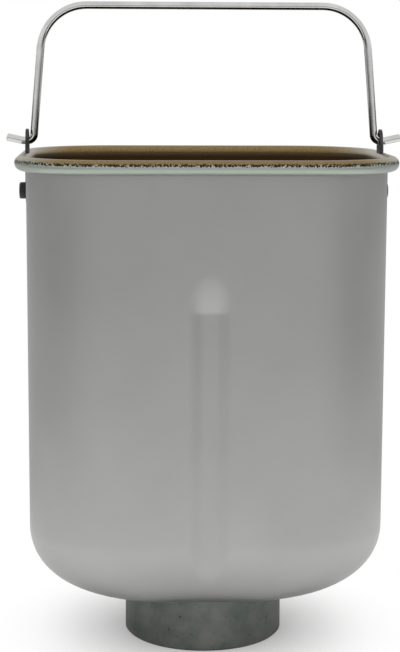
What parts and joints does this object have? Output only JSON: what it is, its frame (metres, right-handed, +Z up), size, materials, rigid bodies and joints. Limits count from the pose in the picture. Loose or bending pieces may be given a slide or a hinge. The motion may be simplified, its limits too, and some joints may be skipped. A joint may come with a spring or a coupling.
{
  "type": "bread machine pan",
  "caption": "Deep drawn bread pan with a rolled rim, kneading ribs, a wire bail handle and a cast base ring that carries the paddle's drive shaft.",
  "frame": {"origin": "centre of the base ring's underside, where the pan stands", "axes": "+Z up along the drive shaft, +X along the long side towards the right lug, front long wall towards -Y"},
  "size_m": [0.1804, 0.134, 0.291],
  "materials": {
    "pan_aluminium": "matt blasted outside, bronze non-stick coat inside",
    "lug_steel": "dull",
    "rivet_steel": "dull",
    "base_casting": "as cast",
    "rivet_aluminium": "satin",
    "bush_bronze": "oiled sintered bronze",
    "seal_rubber": "matt",
    "gasket_rubber": "matt",
    "spring_steel": "satin",
    "washer_steel": "satin",
    "wire_steel": "bright",
    "shaft_steel": "ground",
    "coupling_casting": "die-cast zinc alloy",
    "pin_steel": "satin",
    "paddle_casting": "bronze non-stick coat"
  },
  "bodies": {
    "pan": {"pan_shell": "pan_aluminium", "left_lug": "lug_steel", "right_lug": "lug_steel", "left_lug_rivet": "rivet_steel", "right_lug_rivet": "rivet_steel", "base_ring": "base_casting", "base_rivets": "rivet_aluminium", "upper_bush": "bush_bronze", "lower_bush": "bush_bronze", "shaft_seal": "seal_rubber", "seal_spring": "spring_steel", "hub_gasket": "gasket_rubber", "clip_washer": "washer_steel", "thrust_washer": "washer_steel"},
    "bail": {"bail_handle": "wire_steel"},
    "drive": {"drive_shaft": "shaft_steel", "retaining_clip": "spring_steel", "drive_coupling": "coupling_casting", "coupling_pin": "pin_steel"},
    "paddle": {"kneading_paddle": "paddle_casting"}
  },
  "joints": [
    {"name": "bail_swing", "type": "hinge", "parent": "pan", "child": "bail", "pos_m": [0, 0, 0.2283], "axis": [1, 0, 0], "range_deg": [-93, 93]},
    {"name": "shaft_spin", "type": "hinge", "parent": "pan", "child": "drive", "pos_m": [0, 0, 0.0075], "axis": [0, 0, 1], "continuous": true},
    {"name": "paddle_lift", "type": "slide", "parent": "drive", "child": "paddle", "axis": [0, 0, 1], "range_m": [0, 0.2]}
  ]
}
